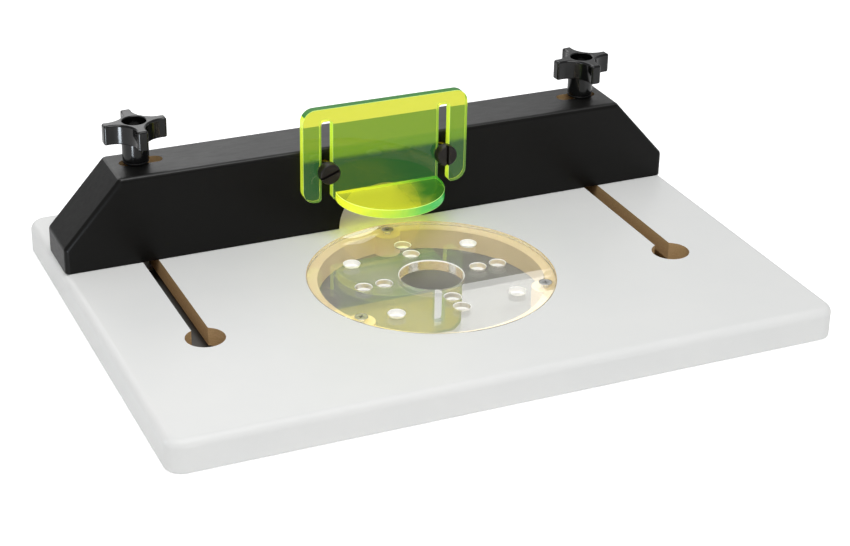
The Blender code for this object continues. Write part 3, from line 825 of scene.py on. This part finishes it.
def build_wood_screw(place_name, angle):
    """A countersunk wood screw with a cross drive, its head just below the plate's face."""
    low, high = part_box(f"insert_screw_{place_name}")
    length = high.z - low.z
    head = (high.x - low.x) / 2
    columns = 36
    radius = 1.7 * MM
    root = 1.2 * MM
    pitch = 1.8 * MM
    thread_top = -3.6 * MM
    thread_end = 2.6 * MM - length
    shape = bmesh.new()
    rings = [(0, 0), (head - 0.15 * MM, 0), (head, -0.1 * MM), (head, -0.25 * MM), (radius, -2.4 * MM)]
    rings += [(1.55 * MM, -3.2 * MM), (root, thread_top)]
    add_rings(shape, rings, columns, caps=(False, False))
    add_thread(shape, radius, radius - root, pitch, thread_end, thread_top, columns)
    add_rings(shape, [(root, thread_end), (0.75 * MM, 1.2 * MM - length), (0, -length)], columns)
    weld(shape)
    screw = finish_mesh(shape, "wood_screw")
    screw.materials.append(ZINC)

    drive_reach = 1.9 * MM
    drive_half = 0.38 * MM
    arm = [(x * drive_reach, y * drive_half) for x, y in QUADRANTS]
    drives = []
    for number in range(2):
        # The second arm is cut a hair deeper, so that the two floors don't coincide.
        drive = prism(arm, -1.3 * MM - number * 0.05 * MM, 1 * MM)
        drives.append(placed(drive, Matrix.Rotation(math.radians(90 * number + angle), 4, "Z")))
    screw = combined(screw, drives)
    placed(screw, shift(*ear_centre(EAR_DEGREES[place_name]), high.z))
    show(f"wood_screw_{place_name}", screw, "table", [f"insert_screw_{place_name}"])


# ---------------------------------------------------------------- fence


def build_fence():
    half = (FENCE_HIGH.x - FENCE_LOW.x) / 2
    height = FENCE_HIGH.z - FENCE_LOW.z
    thickness = FENCE_HIGH.y - FENCE_LOW.y
    floor = FENCE_LOW.z
    front, back = FENCE_LOW.y, FENCE_HIGH.y
    overrun = 5 * MM

    # The outline runs on past the rail's underside, so that the rounding down there is cut away.
    under = -12 * MM
    corner = FENCE_ROUND + 0.6 * MM
    outline = [(-half, under, 0), (half, under, 0), (half, FENCE_END_HEIGHT, corner)]
    outline += [(FENCE_TOP_HALF, height, corner), (-FENCE_TOP_HALF, height, corner)]
    outline += [(-half, FENCE_END_HEIGHT, corner)]
    rail = prism(rounded(outline), 0, thickness, FENCE_ROUND, FENCE_ROUND, 6)
    placed(rail, STAND, shift(0, back, floor))
    rail.materials.append(BLACK_FOIL)
    beyond = 20 * MM
    cut_low = (-half - beyond, front - beyond, floor - 30 * MM)
    underneath = box_mesh(cut_low, (half + beyond, back + beyond, floor))
    underneath.materials.append(BLACK_FOIL)
    rail = combined(rail, [underneath])

    arch = prism(circle(ARCH_RADIUS, 120), -thickness - overrun, overrun)
    cutters = [placed(arch, STAND, shift(0, front, floor))]
    slot_half = (FENCE_SLOT_LENGTH - FENCE_SLOT_WIDTH) / 2
    bolt_low, bolt_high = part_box("fence_bolt_left")
    bolt_y = (bolt_low.y + bolt_high.y) / 2
    for side, sign in SIDES.items():
        outline = stadium((sign * FENCE_SLOT_X, bolt_y), slot_half, FENCE_SLOT_WIDTH / 2)
        cutters.append(prism(outline, floor - overrun, FENCE_HIGH.z + overrun))
        low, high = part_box(f"guard_insert_{side}")
        radius = (high.x - low.x) / 2 + FIT_GAP
        bore = prism(circle(radius, 40), -20 * MM, overrun)
        centre = ((low.x + high.x) / 2, front, (low.z + high.z) / 2)
        cutters.append(placed(bore, STAND, shift(*centre)))
    rail = combined(rail, cutters, material=MDF)
    # The fence's top faces take the foil copy with the painted sheen.
    paint(rail, SHEEN_TOP_FOIL, lambda face: face.normal.z > 0.75 and face.center.z > FENCE_HIGH.z - MM)
    show("fence_rail", rail, "fence", ["fence_body"])


def build_bolt(side):
    """A carriage bolt: a domed head, a square neck and a rolled thread up to its tip."""
    low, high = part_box(f"fence_bolt_{side}")
    radius = 3.97 * MM
    root = 3.35 * MM
    pitch = 1.411 * MM
    head = (high.x - low.x) / 2
    columns = 48
    rim = 7.75 * MM
    dome_foot = rim - 1.2 * MM
    neck_top = rim + 5 * MM
    thread_foot = neck_top + 1.5 * MM
    tip = high.z - 0.9 * MM

    def square(angle):
        return radius / max(abs(math.cos(angle)), abs(math.sin(angle)))

    dome = []
    dome_steps = 8
    for step in range(dome_steps + 1):
        angle = math.pi / 2 * step / dome_steps
        height = dome_foot - (dome_foot - low.z) * math.sin(angle)
        dome.append((head * math.cos(angle) if step < dome_steps else 0, height))
    shape = bmesh.new()
    rings = dome[::-1] + [(head, rim - 0.25 * MM), (head - 0.25 * MM, rim), (square, rim)]
    rings += [(square, neck_top), (root, neck_top + 0.4 * MM), (root, thread_foot)]
    add_rings(shape, rings, columns, caps=(False, False))
    add_thread(shape, radius, radius - root, pitch, thread_foot, tip, columns)
    end_rings = [(root, tip), (root - 0.1 * MM, high.z - 0.2 * MM), (root - 0.4 * MM, high.z)]
    add_rings(shape, end_rings, columns, caps=(False, True))
    weld(shape)
    bolt = finish_mesh(shape, "bolt")
    bolt.materials.append(ZINC)
    placed(bolt, shift((low.x + high.x) / 2, (low.y + high.y) / 2, 0))
    show(f"carriage_bolt_{side}", bolt, "fence_carriage", [f"fence_bolt_{side}"])


def knob_outline():
    """Four arms with squared tips, joined by round scallops."""
    corner = KNOB_ARM_CORNER
    shoulder = KNOB_ARM_REACH - corner
    middle_y = KNOB_ARM_HALF_WIDTH - corner
    waist = KNOB_WAIST_RADIUS - corner
    diagonal = math.sqrt(0.5)
    # The scallop's circle has its middle on the diagonal at `away`. It passes the waist there and touches
    # the round of each arm's corner, which gives a linear equation in `away`.
    away = (shoulder**2 + middle_y**2 - waist**2) / (2 * (diagonal * (shoulder + middle_y) - waist))
    middle = Vector((away * diagonal, away * diagonal))
    radius = away - KNOB_WAIST_RADIUS
    toward = middle - Vector((shoulder, middle_y))
    meet = math.atan2(toward.y, toward.x)
    swing = 2 * (math.atan2(-toward.y, -toward.x) + 0.75 * math.pi)
    arm = arc((shoulder, -middle_y), corner, -meet, 0)
    arm += arc((shoulder, middle_y), corner, 0, meet)
    arm += arc(middle, radius, meet - math.pi, meet - math.pi - swing)[1:-1]
    points = []
    for quarter in range(4):
        turn = Matrix.Rotation(quarter * math.pi / 2, 2)
        points += [tuple(turn @ Vector(point)) for point in arm]
    return points


def knurled_ring(outer, bore, length, grooves, depth, lead):
    """A brass bush round Z: finely grooved, tapered over the lead at both ends, its bore bevelled at one."""

    def knurled(angle):
        return outer - depth * abs(math.sin(angle * grooves))

    end = outer - lead + 0.1 * MM
    rings = [(bore, 0), (end, 0), (knurled, lead), (knurled, length - lead)]
    rings += [(end, length), (bore + 0.3 * MM, length), (bore, length - 0.3 * MM)]
    ring = turned(rings, 8 * grooves, close=True)
    ring.materials.append(BRASS)
    return ring


def build_knob(side):
    low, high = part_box(f"knob_{side}")
    height = high.z - low.z
    underside = height - KNOB_ARM_HEIGHT
    head = prism(knob_outline(), underside, height, 0.9 * MM, 1.3 * MM, 4)
    head.materials.append(KNOB_PLASTIC)
    stem_top = underside + 3 * MM
    foot = [(0, 0, 0), (KNOB_STEM_RADIUS, 0, 0.5 * MM), (KNOB_STEM_RADIUS, stem_top, 0), (0, stem_top, 0)]
    stem = turned(rounded(foot), 72)
    knob = combined(head, [stem], "UNION")
    above = height + 2 * MM
    below = -2 * MM
    floor = height - KNOB_RECESS_DEPTH
    lip = 0.7 * MM
    lip_steps = 4
    recess = [(0, above), (KNOB_RECESS_RADIUS + lip, above)]
    for step in range(lip_steps + 1):
        angle = math.pi / 2 * step / lip_steps
        reach = KNOB_RECESS_RADIUS + lip * (1 - math.sin(angle))
        recess.append((reach, height - lip * (1 - math.cos(angle))))
    recess += [(KNOB_RECESS_RADIUS, floor), (KNOB_BORE_RADIUS, floor)]
    recess += [(KNOB_BORE_RADIUS, below), (0, below)]
    knob = combined(knob, [turned(recess, 72)])
    turn = Matrix.Rotation(math.radians(KNOB_DEGREES[side]), 4, "Z")
    axis_x = (low.x + high.x) / 2
    axis_y = (low.y + high.y) / 2
    placed(knob, turn, shift(axis_x, axis_y, low.z))
    show(f"star_knob_{side}", knob, f"knob_{side}", [f"knob_{side}"])

    low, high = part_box(f"knob_insert_{side}")
    bore = 4.25 * MM
    bush = knurled_ring((high.x - low.x) / 2, bore, high.z - low.z, 16, 0.18 * MM, 0.6 * MM)
    placed(bush, shift(axis_x, axis_y, low.z))
    show(f"knob_bush_{side}", bush, f"knob_{side}", [f"knob_insert_{side}"])

    low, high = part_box(f"knob_washer_{side}")
    outer = (high.x - low.x) / 2
    thick = high.z - low.z
    edge = 0.3 * MM
    ring = [(bore, 0, 0), (outer, 0, edge), (outer, thick, edge), (bore, thick, edge)]
    washer = turned(rounded(ring), 96, close=True)
    washer.materials.append(BLACK_OXIDE)
    placed(washer, shift(axis_x, axis_y, low.z))
    show(f"washer_{side}", washer, f"knob_lift_{side}", [f"knob_washer_{side}"])


# ---------------------------------------------------------------- guard


def is_edge(face):
    return abs(face.normal.z) < 0.1


def is_rim(face):
    return 0.1 <= abs(face.normal.z) < 0.9


def build_guard():
    half = (GUARD_HIGH.x - GUARD_LOW.x) / 2
    height = GUARD_HIGH.z - GUARD_LOW.z
    thickness = GUARD_HIGH.y - GUARD_LOW.y
    inner = GUARD_SLOT_X - GUARD_SLOT_WIDTH / 2
    outer = GUARD_SLOT_X + GUARD_SLOT_WIDTH / 2
    right_leg = [
        (inner, 0, GUARD_LEG_CORNER),
        (inner, GUARD_SLOT_DEPTH, GUARD_SLOT_CORNER),
        (outer, GUARD_SLOT_DEPTH, GUARD_SLOT_CORNER),
        (outer, 0, GUARD_LEG_CORNER),
        (half, 0, GUARD_CORNER),
        (half, height, GUARD_CORNER),
    ]
    left_leg = [(-x, y, radius) for x, y, radius in reversed(right_leg)]
    edge = 0.35 * MM
    plate = prism(rounded(left_leg + right_leg), 0, thickness, edge, edge, 2)
    plate.materials.append(GREEN)
    # Fluorescent sheet gathers light in its edges, and here that is painted as glow: a lit yellow copy to
    # the left, a shaded deep-green copy upwards, and a painted pale highlight on the rims.
    paint(plate, GREEN_EDGE, is_edge)
    paint(plate, GREEN_EDGE_LIT, lambda face: is_edge(face) and face.normal.x < -0.6)
    paint(plate, GREEN_EDGE_SHADED, lambda face: is_edge(face) and face.normal.y > 0.5)
    paint(plate, GREEN_RIM_HIGHLIGHT, is_rim)
    middle = (GUARD_LOW.x + GUARD_HIGH.x) / 2
    placed(plate, STAND, shift(middle, GUARD_HIGH.y, GUARD_LOW.z))
    show("guard_sheet", plate, "guard", ["guard_plate"])

    centre = (middle, SHELF_LOW.y + SHELF_RADIUS)
    past_half = math.asin((SHELF_HIGH.y - centre[1]) / SHELF_RADIUS)
    outline = arc(centre, SHELF_RADIUS, math.pi - past_half, math.tau + past_half)
    shelf = prism(outline, SHELF_LOW.z, SHELF_HIGH.z, edge, edge, 2)
    shelf.materials.append(SHELF_GREEN)
    # The underside and edges take the painted glow materials.
    paint(shelf, SHELF_UNDER_GLOW, lambda face: face.normal.z < -0.9)
    paint(shelf, SHELF_EDGE, is_edge)
    paint(shelf, GREEN_RIM_HIGHLIGHT, is_rim)
    show("guard_ledge", shelf, "guard", ["guard_shelf"])


def build_guard_screw(side):
    """A slotted nylon screw through the guard, and the brass sleeve that it turns in."""
    low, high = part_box(f"guard_screw_{side}")
    head_radius = (high.x - low.x) / 2
    head_height = 5.6 * MM
    front = low.y
    length = high.y - front - head_height
    columns = 72
    radius = 3.1 * MM
    root = 2.55 * MM
    pitch = 1.27 * MM
    crown = 0.9 * MM
    thread_end = 0.5 * MM - length
    shape = bmesh.new()
    head = [(0, head_height, 0), (head_radius, head_height, crown), (head_radius, 0, 0.3 * MM), (0, 0, 0)]
    add_rings(shape, rounded(head)[:-1] + [(root, 0)], columns, caps=(False, False))
    add_thread(shape, radius, radius - root, pitch, thread_end, 0, columns)
    add_rings(shape, [(root, thread_end), (root - 0.4 * MM, -length)], columns, caps=(False, True))
    weld(shape)
    screw = finish_mesh(shape, "guard_screw")
    screw.materials.append(NYLON)
    half = 0.85 * MM
    far = head_radius + 1 * MM
    slot = box_mesh((-half, -far, head_height - 2 * MM), (half, far, head_height + 1 * MM))
    screw = combined(screw, [slot])
    centre = ((low.x + high.x) / 2, front + head_height, (low.z + high.z) / 2)
    turn = Matrix.Rotation(math.radians(GUARD_SCREW_DEGREES[side]), 4, "Y")
    placed(screw, STAND, turn, shift(*centre))
    show(f"slotted_screw_{side}", screw, f"guard_screw_{side}", [f"guard_screw_{side}"])

    low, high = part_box(f"guard_insert_{side}")
    sleeve = knurled_ring((high.x - low.x) / 2, 3.4 * MM, high.y - low.y, 14, 0.15 * MM, 0.5 * MM)
    placed(sleeve, STAND, shift((low.x + high.x) / 2, high.y, (low.z + high.z) / 2))
    show(f"threaded_sleeve_{side}", sleeve, "fence", [f"guard_insert_{side}"])


# ---------------------------------------------------------------- studio


def seen_directly(tree, otherwise, directly):
    """A strength that differs for rays from the camera, also those through clear acrylic."""
    path = add(tree, "LightPath")
    inputs = {0: path.outputs["Is Camera Ray"], 1: path.outputs["Is Transmission Ray"]}
    either = add(tree, "Math", inputs, operation="MAXIMUM").outputs["Value"]
    return spread(tree, either, otherwise, directly, 0.0, 1.0)


def build_floor():
    """A paper sweep: flat under the table, bent up behind it."""
    half_width = 6
    depth = 3.2
    rise = 2.4
    bend = 1.2
    bend_steps = 16
    level = -0.3 * MM
    path = [(-half_width, 0)]
    for step in range(bend_steps + 1):
        angle = math.pi / 2 * step / bend_steps
        path.append((depth + bend * math.sin(angle), bend * (1 - math.cos(angle))))
    path.append((depth + bend, rise))
    shape = bmesh.new()
    previous = None
    for y, z in path:
        pair = [shape.verts.new((x, y, z + level)) for x in (-half_width, half_width)]
        if previous:
            shape.faces.new((*previous, *reversed(pair)))
        previous = pair
    floor = bpy.data.objects.new("floor", finish_mesh(shape, "floor"))
    bpy.context.scene.collection.objects.link(floor)
    floor.data.shade_smooth()
    made, tree, shader = new_material("paper_sweep", Specular_IOR_Level=0.1, Roughness=0.9)
    shader.inputs["Base Color"].default_value = (0.93, 0.93, 0.93, 1)
    shader.inputs["Emission Color"].default_value = (1, 1, 1, 1)
    feed(tree, shader, Emission_Strength=seen_directly(tree, 0.10, 0.5))
    floor.data.materials.append(made)


def build_shade_sheet():
    """A dark sheet of painted shade under the board, inside its footprint: the wells and slots look down on
    it.
    """
    inside = 8 * MM
    low = (BOARD_LOW.x + inside, BOARD_LOW.y + inside, -0.25 * MM)
    high = (BOARD_HIGH.x - inside, BOARD_HIGH.y - inside, -0.1 * MM)
    mesh = box_mesh(low, high)
    mat = bpy.data.objects.new("painted_shade_sheet", mesh)
    bpy.context.scene.collection.objects.link(mat)
    # A dark grey that stands for the shade under the board: painted shade.
    shade_grey = (0.18, 0.175, 0.165, 1)
    made = new_material("painted_shade", Base_Color=shade_grey, Specular_IOR_Level=0.2, Roughness=0.8)[0]
    mesh.materials.append(made)


def add_area(name, location, target, size, radiance, colour=(1, 1, 1), roll=0, sheen_only=False):
    """A soft box that the camera doesn't see, as bright all over as the radiance."""
    light = bpy.data.lights.new(name, "AREA")
    light.shape = "RECTANGLE"
    light.size, light.size_y = size
    light.energy = radiance * math.pi * size[0] * size[1]
    light.color = colour
    holder = bpy.data.objects.new(name, light)
    bpy.context.scene.collection.objects.link(holder)
    direction = Vector(target) - Vector(location)
    aim = direction.to_track_quat("-Z", "Y").to_matrix() @ Matrix.Rotation(math.radians(roll), 3, "Z")
    holder.matrix_world = Matrix.Translation(location) @ aim.to_4x4()
    holder.visible_camera = False
    holder.visible_diffuse = not sheen_only


def build_light():
    world = bpy.data.worlds.new("studio")
    world.use_nodes = True
    tree = world.node_tree
    background = tree.nodes["Background"]
    background.inputs["Color"].default_value = (0.98, 0.99, 1.0, 1)
    tree.links.new(seen_directly(tree, 0.42, 1.02), background.inputs["Strength"])
    bpy.context.scene.world = world
    add_area("overhead", (-0.25, -0.70, 1.95), (0, 0, 0), size=(1.6, 1.6), radiance=3.75)
    add_area(
        "behind",
        (0.02, 2.0, 1.14),
        (0, 0, 0.05),
        size=(2.3, 0.95),
        radiance=1.5,
        roll=-26,
        sheen_only=True,
    )
    add_area(
        "low_left",
        (-0.277, -0.081, 0.006),
        (-0.150, 0.070, 0.09),
        size=(0.045, 0.10),
        radiance=24,
        colour=(0.84, 0.92, 1.0),
        sheen_only=True,
    )


def build_camera():
    location = (-0.4326, -0.9689, 0.5420)
    yaw, pitch, roll = 0.424, 0.464, 0.020
    camera = bpy.data.objects.new("camera", bpy.data.cameras.new("camera"))
    bpy.context.scene.collection.objects.link(camera)
    camera.data.sensor_width = 36
    camera.data.lens = 85.5
    camera.data.clip_end = 50
    ahead = Vector((math.sin(yaw) * math.cos(pitch), math.cos(yaw) * math.cos(pitch), -math.sin(pitch)))
    right = Vector((math.cos(yaw), -math.sin(yaw), 0))
    up = right.cross(ahead)
    rolled_right = math.cos(roll) * right + math.sin(roll) * up
    rolled_up = -math.sin(roll) * right + math.cos(roll) * up
    turn = Matrix((rolled_right, rolled_up, -ahead)).transposed()
    camera.matrix_world = Matrix.Translation(location) @ turn.to_4x4()
    bpy.context.scene.camera = camera


build_board()
build_insert()
for name, angle in (("back", 20), ("left", 52), ("right", 75)):
    build_wood_screw(name, angle)
build_fence()
build_guard()
for side in SIDES:
    build_bolt(side)
    build_knob(side)
    build_guard_screw(side)
build_floor()
build_shade_sheet()
build_light()
build_camera()
bpy.context.scene.view_settings.view_transform = "Standard"
